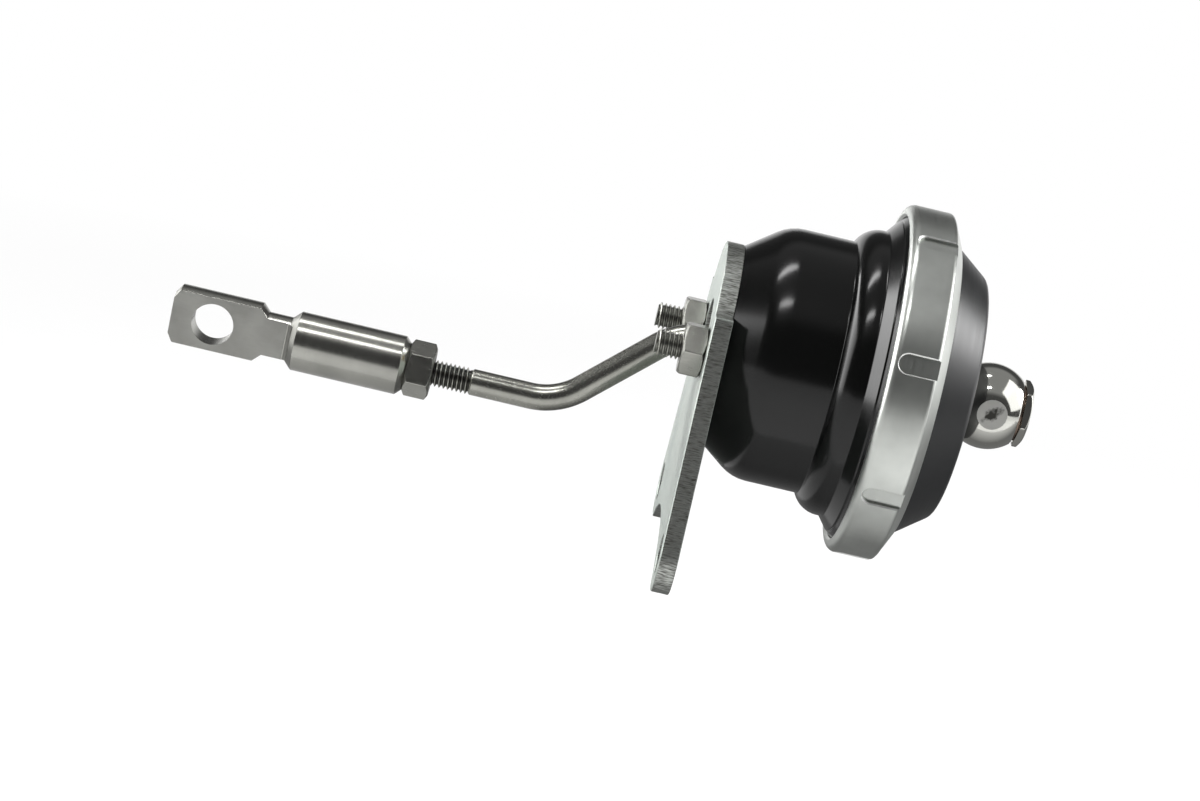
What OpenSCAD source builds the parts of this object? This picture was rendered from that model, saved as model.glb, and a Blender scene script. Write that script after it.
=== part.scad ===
// Turbo wastegate actuator: a diaphragm canister on a two-legged bracket, with a cranked
// rod, an eyed rod end and a swivelling banjo hose fitting.
// X runs along the canister from the rod side to the hose side. Z is up. The origin is
// halfway between the two leg bolts, on the bracket's front face.

/* [Bracket] */
// Thickness of the bracket plate
plate_t = 4; // [3:0.5:6]
// Radius of the plate's round head, about the canister's axis
head_r = 22.5; // [21.5:0.5:24]
// Width across the plate's two shoulders
shoulder_w = 49; // [47:1:54]
// Height of the shoulders above the canister's axis
shoulder_up = 10; // [6:0.5:12]
// Distance from the canister's axis down to the leg bolts
leg_drop = 42.5; // [38:0.5:60]
// Distance between the two leg bolts
leg_pitch = 63; // [56:1:76]
// Diameter of each leg bolt hole
leg_hole_d = 9; // [6:0.5:11]
// Radius of each leg's outer corner
leg_end_r = 8.2; // [7.4:0.2:10]
// Radius of the arch between the legs
arch_r = 52; // [46:1:60]
// Height of the arch above the legs' lower edge
arch_rise = 9.2; // [6:0.2:12]

/* [Mounting studs] */
// Diameter of the two studs that hold the canister to the bracket
stud_d = 6; // [4:0.5:7]
// Distance between the two studs
stud_pitch = 30; // [28:0.5:32]
// How far the studs stand out of the bracket's front face
stud_out = 11; // [8:0.5:20]
// Depth of the studs in the canister's nose
stud_in = 7.5; // [5:0.5:7.5]
// Width of the stud nuts across their flats
nut_af = 11; // [8:0.5:11]
// Thickness of the stud nuts
nut_t = 5.2; // [3:0.2:6]

/* [Base housing] */
// Radius of the nose where it meets the bracket
nose_r = 22.3; // [21:0.1:24]
// Length of the tapered nose
nose_len = 12.4; // [11:0.2:16]
// Radius that blends the nose into the barrel
blend_r = 10; // [6:0.5:12]
// Outer radius of the barrel
barrel_r = 29; // [28:0.2:30.4]
// Length of the plain barrel, from the nose to the bead
barrel_len = 11.6; // [8:0.1:24]
// How far the rolled bead stands out of the barrel
bead_step = 3.8; // [3.2:0.1:4.6]
// Rounding of the bead's front
bead_round = 6; // [4.4:0.1:6]
// Length of the bead behind its rounding
bead_land = 0.8; // [0.6:0.1:3]
// How far the flange's edge stands out of the bead
flange_step = 2.9; // [2.2:0.1:3.6]
// Length of the flare
flare_len = 2.3; // [1.5:0.1:4]
// How far the threaded rim stands out of the flange's edge
rim_step = 1.3; // [0.8:0.1:2]
// Length of the threaded rim
rim_len = 6; // [5:0.2:8]
// Wall of the barrel and of the bead
wall = 3.6; // [3:0.1:4]
// Thickness of the nose, from the bracket to the spring floor
floor_t = 9; // [8.6:0.2:11]
// Radius of the spigot that centres the bracket
spigot_r = 9; // [8:0.2:10]
// Length of the spigot
spigot_len = 3.2; // [2:0.1:3.6]
// Diameter of the breather hole in the barrel
breather_d = 2.5; // [1:0.1:4]
// Distance of the breather hole behind the nose
breather_in = 4; // [3:0.5:8]

/* [Rod guide and seal] */
// Outer diameter of the guide bush
bush_d = 11; // [10:0.5:12]
// Running clearance of the rod, all round
rod_clear = 0.05; // [0.02:0.01:0.1]
// Outer diameter of the rod seal
seal_d = 15; // [13:0.5:16]
// Thickness of the rod seal
seal_t = 3; // [2:0.2:3.6]
// Thickness of the seal's retaining clip
clip_t = 1; // [0.8:0.1:1.2]
// Height of the hub that holds the seal, above the spring floor
hub_up = 4; // [3.8:0.1:5]

/* [Springs] */
// Thickness of the spring seat washer
seat_t = 1.5; // [1:0.1:2]
// Wire diameter of the outer spring
outer_wire = 2.8; // [2.2:0.1:3]
// Turns of the outer spring
outer_turns = 4; // [3:0.25:4.25]
// Wire diameter of the inner spring
inner_wire = 2.2; // [1.6:0.1:2.4]
// Turns of the inner spring
inner_turns = 4.5; // [3:0.25:5]
// Mean diameter of the inner spring
inner_spring_d = 26; // [25.6:0.2:29]

/* [Piston and diaphragm] */
// Travel of the rod from rest
stroke = 12; // [6:0.5:12.5]
// Thickness of the rubber diaphragm
diaphragm_t = 1; // [0.8:0.1:1.4]
// Depth of the rolled loop below the joint face
loop_drop = 6.8; // [5.5:0.1:6.9]
// Radial gap between the piston's skirt and the barrel
piston_gap = 1.8; // [1.5:0.1:2.2]
// Thickness of the piston's crown
crown_t = 3; // [2:0.2:4]
// Length of the piston's skirt below its crown
skirt_len = 8.5; // [6:0.5:9.5]
// Wall of the piston's skirt
skirt_t = 1.4; // [1:0.1:2]
// Thickness of the plate that holds the diaphragm on the piston
retainer_t = 1.8; // [1.2:0.1:2.2]
// Thickness of the nut on the rod's inner end
lock_nut_t = 2.7; // [2:0.1:3.5]
// Width of that nut across its flats
lock_nut_af = 8; // [7:0.5:10]
// Diameter of the rod's inner threaded end
rod_tip_d = 5; // [4:0.2:5.4]

/* [Cap and collar] */
// Thickness of the cap's rim under the collar's lip
cap_rim_t = 2.8; // [2:0.1:4]
// Width of the cap's rim under the collar's lip
cap_ledge = 3.4; // [2.6:0.1:4]
// Length of the cap's cone outside the collar
cone_len = 8.3; // [7:0.1:11]
// How much smaller the cap's end face is than the foot of its cone, in radius
cone_drop = 5; // [3.6:0.2:8]
// Rounding of the cap's front edge
cap_edge = 2.5; // [0.4:0.1:3]
// Thickness of the cap's end wall
cap_t = 4.5; // [4:0.1:5]
// Length of the threaded port in the cap
port_len = 6.8; // [6:0.1:7.4]
// Radius of the boss round the port
boss_r = 9; // [7.5:0.5:10]
// Height of the seat that the hose fitting's washer rests on
seat_h = 0.3; // [0.3:0.1:1.5]
// Wall of the collar outside its thread
collar_wall = 2.9; // [2.9:0.1:5]
// Thickness of the collar's lip
lip_t = 3.6; // [2.6:0.1:4]
// Clearance of the collar's thread and lip
collar_clear = 0.1; // [0.05:0.01:0.2]
// Gap between the housing's flange and the collar
collar_gap = 0.7; // [0.4:0.1:2]
// Rounding of the collar's front edge
collar_round = 2; // [1:0.1:2.3]
// Axial length of the collar's rear chamfer
rear_chamfer = 2.6; // [1:0.1:2.8]
// Width of the collar's flat rear face, inside its chamfer
rear_land = 0.6; // [0.6:0.1:3.2]
// Number of spanner notches round the collar
notch_count = 8; // [4:1:12]
// Width of each notch
notch_w = 4.6; // [3:0.2:7]
// Length of each notch from the collar's rear face
notch_len = 11.2; // [6:0.1:11.6]
// Depth of each notch
notch_depth = 0.9; // [0.4:0.1:1.4]
// Angle of the first notch above the horizontal
notch_start = 18; // [0:1:44]

/* [Hose fitting] */
// Radius of the ball-shaped banjo body
ball_r = 9.8; // [9:0.1:12]
// Width of the banjo body between its flats
ball_w = 12.6; // [11.6:0.2:13.4]
// Thickness of each sealing washer
washer_t = 0.8; // [0.5:0.1:1.5]
// Diameter of the banjo bolt's shank
bolt_d = 8; // [6:0.5:9]
// Width of the banjo bolt's head across its flats
head_af = 13.4; // [12:0.2:14]
// Thickness of the banjo bolt's head
bolt_head_t = 1.8; // [1.4:0.1:5]
// Diameter of the air passage through bolt and hose nipple
air_d = 3; // [2:0.1:3.4]
// Outer diameter of the hose nipple's tube
nipple_d = 5.2; // [4.8:0.1:5.6]
// Diameter over the nipple's barbs
barb_d = 6.4; // [6:0.1:7.5]
// Distance from the canister's axis to the nipple's tip
nipple_reach = 25; // [20:1:40]
// Number of barbs on the nipple
barb_count = 3; // [1:1:4]
// Diameter of the flat spot opposite the nipple
spot_d = 6.8; // [4:0.2:8]

/* [Rod] */
// Diameter of the rod
rod_d = 6; // [5.6:0.2:6.4]
// Distance of the rod's outer length below the canister's axis
rod_offset = 22; // [14:0.5:30]
// Angle of the rod's cranked length
crank_angle = 43; // [30:1:50]
// Bend radius of the rod's centre line
bend_r = 16; // [12:0.5:16]
// Distance from the bracket's front face to the first bend's corner
bend_out = 5.2; // [5.2:0.1:12]
// Distance from the bracket's front face to the rod end's mouth
mouth_out = 63.6; // [50:0.2:90]
// Thickness of the rod's jam nut
jam_t = 6; // [4:0.2:8]
// Width of the jam nut across its flats
jam_af = 11.3; // [10:0.1:13]

/* [Rod end] */
// Diameter of the bar that the rod end is cut from
bar_d = 13.5; // [12:0.1:16]
// Length of the rod end's round barrel
socket_len = 27.2; // [22:0.2:40]
// Depth of the threaded hole in the barrel
thread_depth = 21; // [12:0.5:22]
// Length of rod held in that hole
rod_engaged = 19; // [8:0.5:20]
// Diameter of the neck between barrel and eye
neck_d = 10; // [8:0.1:11]
// Length of the neck
neck_len = 5.4; // [4:0.1:12]
// Length of the eye
eye_len = 21.4; // [18:0.2:26]
// Distance from the eye's tip to its hole
eye_back = 9.5; // [8:0.1:11]
// Diameter of the eye's hole
eye_d = 9.5; // [6:0.1:10]
// Thickness of the eye between its flats
eye_t = 5.3; // [4:0.1:8]
// Length of the turned chamfers at the barrel's ends
bar_chamfer = 1.4; // [0.8:0.1:2]
// Length of the turned chamfer at the eye's tip
tip_chamfer = 1.2; // [0.6:0.1:2]
// Angle that the eye is turned about the rod
eye_roll = 5; // [-30:1:30]

/* [Hidden] */
$fn = 96;
// Small overlap that keeps cuts clean
eps = 0.01;
// Clearance of pieces that are screwed or pressed together
snug = 0.02;
// Clearance of the bracket's spigot hole and stud holes
hole_clear = 0.2;
// Gap left round the parts of the diaphragm that roll
roll_gap = 0.3;
// Gap at the piston's rest stop
rest_gap = 0.3;
// Swelling of the rod in its bends, and how far its lengths run into each other
bend_swell = 0.01;
lap = 0.1;
// Steps in each turned fillet
arc_steps = 8;
// Rounding of the diaphragm over the piston and at the joint
fold_r = 1.5;
joint_fold_r = 1;
// Width and height of the diaphragm's bead
seal_bead_w = 2;
seal_bead_h = 0.5;
// Gap between the diaphragm's loop and the step in the housing's bore
step_gap = 0.4;
// Distance of the diaphragm's bead inside the rim
bead_inset = 3;
// Width of the flange's plain edge ahead of the rim's bevel
edge_land = 0.4;
// Depth of the seal's pocket below the spring floor, and the wall of the hub round it
seal_drop = 1;
hub_wall = 3;
// Height of the raised ring on the spring seat, and the seat's clearance in the bore
ring_up = 1.2;
seat_clear = 0.8;
// Play at the springs' ends
spring_play = 0.1;
// Wall of the piston's boss round the rod
rod_boss_wall = 2;
// Width of each sealing washer's ring
washer_band = 2.4;
// Depth of the air groove inside the banjo body, and its extra width over the air passage
groove_depth = 1.4;
groove_play = 1;
// Sides of the spring wire and rings in each turn of a spring
wire_sides = 8;
rings_per_turn = 24;

// Outside radii, each from the one before it
bead_r = barrel_r + bead_step;
flange_r = bead_r + flange_step;
rim_r = flange_r + rim_step;
cap_r = rim_r - cap_ledge;
cap_face_r = cap_r - cone_drop;
thread_r = rim_r + collar_clear;
collar_r = thread_r + collar_wall;
bead_centre_r = bead_r - bead_round;

// Places along the canister's axis, from the bracket's front face
x_floor = plate_t + floor_t;
x_hub = x_floor + hub_up;
x_nose = plate_t + nose_len;
x_bead_foot = x_nose + barrel_len;
bead_angle = acos((barrel_r - bead_centre_r) / bead_round);
x_bead_top = x_bead_foot + bead_round * sin(bead_angle);
x_flare = x_bead_top + bead_land;
x_flange = x_flare + flare_len;
x_joint = x_flange + rim_len;
x_cap = x_joint + diaphragm_t;
x_shoulder = x_cap + cap_rim_t;
x_collar_end = x_shoulder + lip_t;
x_face = x_collar_end + cone_len;
x_boss = x_face - port_len;
x_inner_wall = x_face - cap_t;
x_lock_nut = x_boss - rest_gap - lock_nut_t;
x_retainer = x_lock_nut - retainer_t;
x_crown = x_retainer - diaphragm_t;
x_piston = x_crown - crown_t;
x_skirt = x_piston - skirt_len;
x_spring = x_floor + seat_t;
x_seal = x_floor - seal_drop;
spring_len = x_piston - x_spring - 2 * snug - spring_play;
x_step = x_joint - loop_drop - stroke / 2 - step_gap;

// Radii that follow from the walls and gaps
bore_r = barrel_r - wall;
wide_r = bead_r - wall;
piston_r = bore_r - piston_gap;
skirt_r = piston_r - skirt_t;
rod_r = rod_d / 2;
rod_hole_r = rod_r + rod_clear;
stud_r = stud_d / 2;
hub_r = seal_d / 2 + hub_wall;
spring_side = 0.8;
outer_mean_r = skirt_r - spring_side - outer_wire / 2;
inner_mean_r = inner_spring_d / 2;
piston_boss_r = inner_mean_r - inner_wire / 2 - 0.5;
piston_boss_h = 2.5;
retainer_r = piston_r - fold_r - 0.2;
clip_r = seal_d / 2 + 0.8;
lip_r = cap_r + 0.4;
bead_mid_r = rim_r - bead_inset;

// Places on the hose fitting
x_washer = x_face + seat_h;
x_ball = x_washer + washer_t + ball_w / 2;
x_head = x_ball + ball_w / 2 + washer_t;
bolt_r = bolt_d / 2;
groove_r = bolt_r + groove_depth;
groove_w = air_d + groove_play;
spot_out = sqrt(ball_r * ball_r - spot_d * spot_d / 4);
nipple_seat = groove_r + 0.4;

// Places on the rod
bend_tangent = bend_r * tan(crank_angle / 2);
crank_len = rod_offset / sin(crank_angle);
crank_run = rod_offset / tan(crank_angle);
x_rod_tip = -mouth_out - rod_engaged;
rod_end_len = eye_len + neck_len + socket_len;

// Places on the bracket, from the canister's axis
leg_bottom = -leg_drop - leg_end_r;
arch_top = leg_bottom + arch_rise;

// Points along an arc, from angle a0 to a1
function arc(centre, r, a0, a1) = [for (i = [0:arc_steps])
    let (a = a0 + (a1 - a0) * i / arc_steps)
    [centre[0] + r * cos(a), centre[1] + r * sin(a)]];

// Angle on a circle where the line from an outside point touches it
function touch_angle(point, centre, r, side) =
    let (v = point - centre)
    atan2(v[1], v[0]) + side * acos(r / norm(v));

// Outline of the diaphragm's bead, on one side of the joint and from the inside out
function bead(x, side) = [
    [bead_mid_r - seal_bead_w / 2, x],
    [bead_mid_r - seal_bead_w / 2 + 0.3, x + side * seal_bead_h],
    [bead_mid_r + seal_bead_w / 2 - 0.3, x + side * seal_bead_h],
    [bead_mid_r + seal_bead_w / 2, x]];

// The same outline, from the outside in
function bead_back(x, side) = [for (i = [3:-1:0]) bead(x, side)[i]];

// Height of a spring's wire centre after t turns, closed by one flat turn at each end
function coil_height(t, turns, length, wire) =
    let (flat = wire * 1.05)
    let (rise = (length - wire - 2 * flat) / (turns - 2))
    wire / 2 + flat * min(t, 1) + rise * min(max(t - 1, 0), turns - 2)
        + flat * max(t - turns + 1, 0);

// Stands a shape that is drawn along +Z on the canister's axis, pointing along +X
module on_axis(x = 0) {
    translate([x, 0, leg_drop]) rotate([90, 0, 90]) children();
}

// Stands a shape on the axis of the rod's outer length
module on_rod(x = 0) {
    translate([x, 0, leg_drop - rod_offset]) rotate([90, 0, 90]) children();
}

module tube(outer_r, inner_r, length) {
    difference() {
        cylinder(r = outer_r, h = length);
        translate([0, 0, -eps]) cylinder(r = inner_r, h = length + 2 * eps);
    }
}

// Hexagon with turned corners and a plain bore
module hex_nut(across, thick, bore_r) {
    corner_r = across / 2 / cos(30);
    drop = (corner_r - across / 2) * tan(30);
    difference() {
        intersection() {
            cylinder(r = corner_r, h = thick, $fn = 6);
            rotate_extrude()
                polygon([[0, 0], [across / 2, 0], [corner_r, drop], [corner_r, thick - drop],
                    [across / 2, thick], [0, thick]]);
        }
        translate([0, 0, -eps]) cylinder(r = bore_r, h = thick + 2 * eps);
    }
}

// Coil of round wire along +Z
module spring(mean_r, wire, turns, length) {
    rings = round(turns * rings_per_turn);
    points = [for (i = [0:rings], j = [0:wire_sides - 1])
        let (t = i / rings * turns, a = 360 * t, b = 360 * j / wire_sides)
        [(mean_r + wire / 2 * cos(b)) * cos(a), (mean_r + wire / 2 * cos(b)) * sin(a),
            coil_height(t, turns, length, wire) + wire / 2 * sin(b)]];
    sides = [for (i = [0:rings - 1], j = [0:wire_sides - 1])
        let (k = (j + 1) % wire_sides)
        [i * wire_sides + j, (i + 1) * wire_sides + j, (i + 1) * wire_sides + k,
            i * wire_sides + k]];
    first = [for (j = [0:wire_sides - 1]) j];
    last = [for (j = [wire_sides - 1:-1:0]) rings * wire_sides + j];
    polyhedron(points = points, faces = concat(sides, [first, last]), convexity = 10);
}

// Round head, straight-sided skirt and round leg ends, less the arch and the holes
module bracket_plate() {
    leg = [leg_pitch / 2, -leg_drop];
    shoulder = [shoulder_w / 2, shoulder_up];
    a = touch_angle(shoulder, leg, leg_end_r, -1);
    touch = leg + leg_end_r * [cos(a), sin(a)];
    color("lightgrey") on_axis() difference() {
        union() {
            cylinder(r = head_r, h = plate_t);
            linear_extrude(plate_t)
                polygon([[-shoulder[0], shoulder[1]], shoulder, touch, leg,
                    [leg[0], leg_bottom], [-leg[0], leg_bottom], [-leg[0], leg[1]],
                    [-touch[0], touch[1]]]);
            for (side = [-1, 1]) translate([side * leg[0], leg[1], 0])
                cylinder(r = leg_end_r, h = plate_t);
        }
        translate([0, arch_top - arch_r, -eps]) cylinder(r = arch_r, h = plate_t + 2 * eps);
        translate([0, 0, -eps]) cylinder(r = spigot_r + hole_clear, h = plate_t + 2 * eps);
        for (side = [-1, 1]) {
            translate([side * stud_pitch / 2, 0, -eps])
                cylinder(r = stud_r + hole_clear, h = plate_t + 2 * eps);
            translate([side * leg_pitch / 2, -leg_drop, -eps])
                cylinder(d = leg_hole_d, h = plate_t + 2 * eps);
        }
    }
}

module mount_studs() {
    length = stud_out + plate_t + stud_in;
    tip = 0.6;
    color("silver") on_axis(-stud_out)
        for (side = [-1, 1]) translate([side * stud_pitch / 2, 0, 0])
            rotate_extrude()
                polygon([[0, 0], [stud_r - tip, 0], [stud_r, tip], [stud_r, length - tip],
                    [stud_r - tip, length], [0, length]]);
}

module stud_nuts() {
    roll = -5;
    color("silver") on_axis(-nut_t)
        for (side = [-1, 1]) translate([side * stud_pitch / 2, 0, 0])
            rotate([0, 0, roll]) hex_nut(nut_af, nut_t, stud_r + snug);
}

// Turned outside of the base housing
module base_body() {
    blend = [barrel_r - blend_r, x_nose];
    taper_end = touch_angle([nose_r, plate_t], blend, blend_r, 1);
    rotate_extrude() polygon(concat(
        [[0, plate_t - spigot_len], [spigot_r, plate_t - spigot_len], [spigot_r, plate_t],
            [nose_r, plate_t]],
        arc(blend, blend_r, taper_end, 0),
        arc([bead_centre_r, x_bead_top], bead_round, -bead_angle, 0),
        [[bead_r, x_flare], [flange_r, x_flange], [flange_r, x_flange + edge_land],
            [rim_r, x_flange + edge_land + rim_step], [rim_r, x_joint], [0, x_joint]]));
}

module base_housing() {
    color([0.08, 0.08, 0.08]) on_axis() difference() {
        base_body();
        cylinder(d = bush_d, h = x_seal + eps);
        translate([0, 0, x_seal]) cylinder(d = seal_d, h = x_hub - x_seal + eps);
        translate([0, 0, x_seal + seal_t]) cylinder(r = clip_r, h = clip_t);
        translate([0, 0, x_floor]) tube(bore_r, hub_r, hub_up);
        translate([0, 0, x_hub - eps]) cylinder(r = bore_r, h = x_joint - x_hub + 2 * eps);
        translate([0, 0, x_step]) cylinder(r = wide_r, h = x_joint - x_step + eps);
        translate([0, 0, x_joint - joint_fold_r])
            cylinder(r1 = wide_r, r2 = wide_r + joint_fold_r, h = joint_fold_r + eps);
        rotate_extrude() polygon(concat(bead(x_joint, -1),
            [[bead_mid_r + seal_bead_w / 2, x_joint + 1],
                [bead_mid_r - seal_bead_w / 2, x_joint + 1]]));
        for (side = [-1, 1]) translate([side * stud_pitch / 2, 0, plate_t - eps])
            cylinder(r = stud_r + snug, h = stud_in + 0.5);
        translate([bore_r - wall, 0, x_nose + breather_in]) rotate([0, 90, 0])
            cylinder(d = breather_d, h = 3 * wall);
    }
}

module guide_bush() {
    start = plate_t - spigot_len + 0.4;
    color("goldenrod") on_axis(start) tube(bush_d / 2, rod_hole_r, x_seal - start);
}

module rod_seal() {
    color([0.1, 0.1, 0.12]) on_axis(x_seal) tube(seal_d / 2, rod_hole_r, seal_t);
}

// Split ring that springs into the groove above the seal
module seal_clip() {
    band = 2;
    gap = 4;
    color("dimgrey") on_axis(x_seal + seal_t) difference() {
        tube(clip_r, clip_r - band, clip_t);
        translate([0, clip_r, clip_t / 2]) cube([gap, 3 * band, 3 * clip_t], center = true);
    }
}

// Washer with a raised ring that keeps the two springs apart
module spring_seat() {
    ring_in = inner_mean_r + inner_wire / 2 + 1;
    ring_out = outer_mean_r - outer_wire / 2 - 1;
    color("silver") on_axis(x_floor) rotate_extrude()
        polygon([[hub_r + snug, 0], [bore_r - seat_clear, 0], [bore_r - seat_clear, seat_t],
            [ring_out, seat_t], [ring_out, seat_t + ring_up], [ring_in, seat_t + ring_up],
            [ring_in, seat_t], [hub_r + snug, seat_t]]);
}

module outer_spring() {
    color("gainsboro") on_axis(x_spring + snug)
        spring(outer_mean_r, outer_wire, outer_turns, spring_len);
}

module inner_spring() {
    color("gainsboro") on_axis(x_spring + snug)
        spring(inner_mean_r, inner_wire, inner_turns, spring_len);
}

// Rubber sheet that rolls between the piston's skirt and the bead's bore
module diaphragm() {
    low_r = piston_r + roll_gap;
    high_r = wide_r - roll_gap;
    loop = [(low_r + high_r) / 2, x_joint - loop_drop + (high_r - low_r) / 2];
    outer = (high_r - low_r) / 2;
    fold = [low_r - fold_r, x_crown - fold_r];
    joint = [high_r + joint_fold_r, x_joint - joint_fold_r];
    rim = rim_r - 0.5;
    hole = rod_tip_d / 2 + roll_gap;
    color([0.15, 0.14, 0.13]) on_axis() rotate_extrude() polygon(concat(
        [[hole, x_crown]], arc(fold, fold_r, 90, 0), arc(loop, outer, 180, 360),
        arc(joint, joint_fold_r, 180, 90), bead(x_joint, -1),
        [[rim, x_joint], [rim, x_cap]], bead_back(x_cap, 1),
        arc(joint, joint_fold_r + diaphragm_t, 90, 180),
        arc(loop, outer - diaphragm_t, 360, 180),
        arc(fold, fold_r + diaphragm_t, 0, 90), [[hole, x_retainer]]));
}

// Cup with a boss that centres the inner spring
module piston() {
    edge = fold_r - 0.1;
    rod_boss_r = rod_r + rod_boss_wall;
    color("silver") on_axis() rotate_extrude()
        polygon([[rod_tip_d / 2 + snug, x_crown], [piston_r - edge, x_crown],
            [piston_r, x_crown - edge], [piston_r, x_skirt], [skirt_r, x_skirt],
            [skirt_r, x_piston], [piston_boss_r, x_piston],
            [piston_boss_r, x_piston - piston_boss_h], [rod_boss_r, x_piston - piston_boss_h],
            [rod_boss_r, x_piston], [rod_tip_d / 2 + snug, x_piston]]);
}

module diaphragm_retainer() {
    lift = 0.8;
    color("silver") on_axis(x_retainer) rotate_extrude()
        polygon([[rod_tip_d / 2 + snug, 0], [retainer_r - lift, 0], [retainer_r, lift],
            [retainer_r, retainer_t], [retainer_r - lift, retainer_t],
            [rod_tip_d / 2 + snug, retainer_t]]);
}

module lock_nut() {
    color("silver") on_axis(x_lock_nut) hex_nut(lock_nut_af, lock_nut_t, rod_tip_d / 2 + snug);
}

module cap() {
    inner_r = cap_face_r - cap_t;
    edge = [cap_face_r - cap_edge, x_face - cap_edge];
    cone_end = touch_angle([cap_r, x_collar_end], edge, cap_edge, 1);
    color([0.1, 0.1, 0.1]) on_axis() difference() {
        rotate_extrude() polygon(concat(
            [[0, x_cap], [rim_r, x_cap], [rim_r, x_shoulder], [cap_r, x_shoulder],
                [cap_r, x_collar_end]],
            arc(edge, cap_edge, cone_end, 90),
            [[boss_r, x_face], [boss_r, x_face + seat_h], [0, x_face + seat_h]]));
        rotate_extrude()
            polygon([[0, x_cap - eps], [wide_r, x_cap - eps], [wide_r, x_shoulder + 1],
                [inner_r, x_inner_wall], [boss_r, x_inner_wall], [boss_r, x_boss],
                [0, x_boss]]);
        rotate_extrude() polygon(concat(bead(x_cap, 1),
            [[bead_mid_r + seal_bead_w / 2, x_cap - 1],
                [bead_mid_r - seal_bead_w / 2, x_cap - 1]]));
        translate([0, 0, x_boss - eps])
            cylinder(r = bolt_r + snug, h = x_face - x_boss + seat_h + 2 * eps);
    }
}

// Slots with one round end, open to the collar's rear face
module notches() {
    round_x = x_collar_end - notch_len + notch_w / 2;
    for (i = [0:notch_count - 1]) rotate([0, 0, 180 - notch_start + 360 * i / notch_count])
        translate([collar_r - notch_depth, 0, 0]) {
            translate([0, 0, round_x]) rotate([0, 90, 0]) cylinder(d = notch_w, h = notch_w);
            translate([0, -notch_w / 2, round_x]) cube([notch_w, notch_w, notch_len]);
        }
}

module collar() {
    lead = 0.5;
    lip_chamfer = 0.4;
    x_front = x_flange + collar_gap;
    color("silver") on_axis() difference() {
        rotate_extrude() polygon(concat(
            [[thread_r + lead, x_front]],
            arc([collar_r - collar_round, x_front + collar_round], collar_round, -90, 0),
            [[collar_r, x_collar_end - rear_chamfer],
                [lip_r + rear_land, x_collar_end],
                [lip_r + lip_chamfer, x_collar_end], [lip_r, x_collar_end - lip_chamfer],
                [lip_r, x_shoulder], [thread_r, x_shoulder], [thread_r, x_front + lead]]));
        notches();
    }
}

// Hollow bolt: the air comes in at its cross hole and leaves at its inner end
module banjo_bolt() {
    inner_end = x_boss + 0.8;
    drop = 0.6;
    roll = 14;
    corner_r = head_af / 2 / cos(30);
    color("silver") on_axis() difference() {
        union() {
            translate([0, 0, inner_end]) cylinder(r = bolt_r, h = x_head - inner_end + eps);
            translate([0, 0, x_head]) rotate([0, 0, roll]) intersection() {
                cylinder(r = corner_r, h = bolt_head_t, $fn = 6);
                rotate_extrude() polygon([[0, 0], [corner_r, 0],
                    [corner_r, bolt_head_t - drop], [corner_r - 2 * drop, bolt_head_t],
                    [0, bolt_head_t]]);
            }
        }
        translate([0, 0, inner_end - eps]) cylinder(d = air_d, h = x_ball - inner_end);
        translate([-ball_r, 0, x_ball]) rotate([0, 90, 0]) cylinder(d = air_d, h = 2 * ball_r);
    }
}

module banjo_washers() {
    color("peru") for (x = [x_washer, x_head - washer_t])
        on_axis(x) tube(bolt_r + washer_band, bolt_r + snug, washer_t);
}

// Ball with two flats, a spot face and a socket for the nipple
module banjo_body() {
    color("silver") on_axis(x_ball) difference() {
        intersection() {
            sphere(r = ball_r);
            translate([0, 0, -ball_w / 2]) cylinder(r = ball_r + 1, h = ball_w);
        }
        translate([0, 0, -ball_w / 2 - eps])
            cylinder(r = bolt_r + rod_clear, h = ball_w + 2 * eps);
        translate([0, 0, -groove_w / 2]) cylinder(r = groove_r, h = groove_w);
        rotate([0, 90, 0]) cylinder(d = air_d, h = ball_r);
        translate([nipple_seat, 0, 0]) rotate([0, 90, 0]) cylinder(d = nipple_d, h = ball_r);
        translate([-spot_out - ball_r, 0, 0]) rotate([0, 90, 0]) cylinder(r = ball_r, h = ball_r);
    }
}

// Tube with sloped barbs, seated in the banjo body
module hose_nipple() {
    length = nipple_reach - nipple_seat;
    barb_len = 2.6;
    tube_r = nipple_d / 2;
    color("silver") on_axis(x_ball) rotate([0, 90, 0]) translate([0, 0, nipple_seat])
        difference() {
            union() {
                cylinder(r = tube_r, h = length - 1);
                for (i = [1:barb_count]) translate([0, 0, length - barb_len * i])
                    cylinder(r1 = barb_d / 2, r2 = tube_r - 0.4, h = barb_len);
            }
            translate([0, 0, -eps]) cylinder(d = air_d, h = length + 2 * eps);
        }
}

// One bend of the rod, from the origin along +Z and towards +X or -X
module elbow(turn) {
    mirror([turn > 0 ? 0 : 1, 0, 0]) translate([bend_r, 0, 0]) mirror([1, 0, 0])
        rotate([90, 0, 0]) rotate_extrude(angle = crank_angle)
            translate([bend_r, 0]) circle(r = rod_r + bend_swell);
}

module rod() {
    inner_x = bend_tangent - bend_out;
    sweep_x = bend_r * (1 - cos(crank_angle));
    sweep_z = bend_r * sin(crank_angle);
    straight = crank_len - 2 * bend_tangent;
    outer = mouth_out + rod_engaged - bend_out - crank_run - bend_tangent;
    color("lightsteelblue") {
        on_axis(x_piston - lap)
            cylinder(d = rod_tip_d, h = x_lock_nut + lock_nut_t - x_piston + lap);
        on_axis(inner_x - lap) cylinder(r = rod_r, h = x_piston - inner_x + lap);
        translate([inner_x, 0, leg_drop]) rotate([0, -90, 0]) {
            elbow(-1);
            translate([-sweep_x, 0, sweep_z]) rotate([0, -crank_angle, 0]) {
                translate([0, 0, -lap]) cylinder(r = rod_r, h = straight + 2 * lap);
                translate([0, 0, straight]) elbow(1);
            }
        }
        on_rod(x_rod_tip) cylinder(r = rod_r, h = outer + lap);
    }
}

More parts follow.
